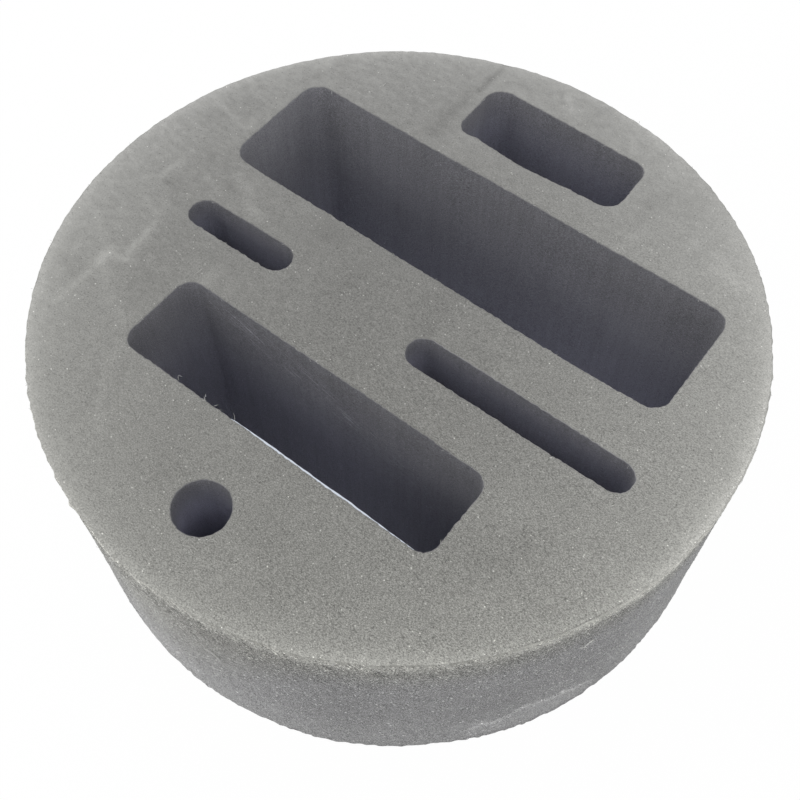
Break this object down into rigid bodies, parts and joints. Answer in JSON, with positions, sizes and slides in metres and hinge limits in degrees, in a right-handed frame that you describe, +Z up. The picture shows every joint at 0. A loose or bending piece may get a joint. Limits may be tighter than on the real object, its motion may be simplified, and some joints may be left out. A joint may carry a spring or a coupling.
{
  "type": "foam insert",
  "caption": "Round foam insert for a case, with rectangular pockets, round-ended slots and a round hole cut right through it.",
  "frame": {"origin": "centre of the round underside, on the surface that the insert stands on", "axes": "+Z up through the thickness, +X along the length of the pockets, +Y from the round hole towards the small pocket"},
  "size_m": [0.15, 0.15, 0.055],
  "materials": {
    "foam": "matt fine-cell closed-cell foam, mid grey, lightly scuffed"
  },
  "bodies": {
    "root": {"foam_insert": "foam"}
  },
  "joints": []
}
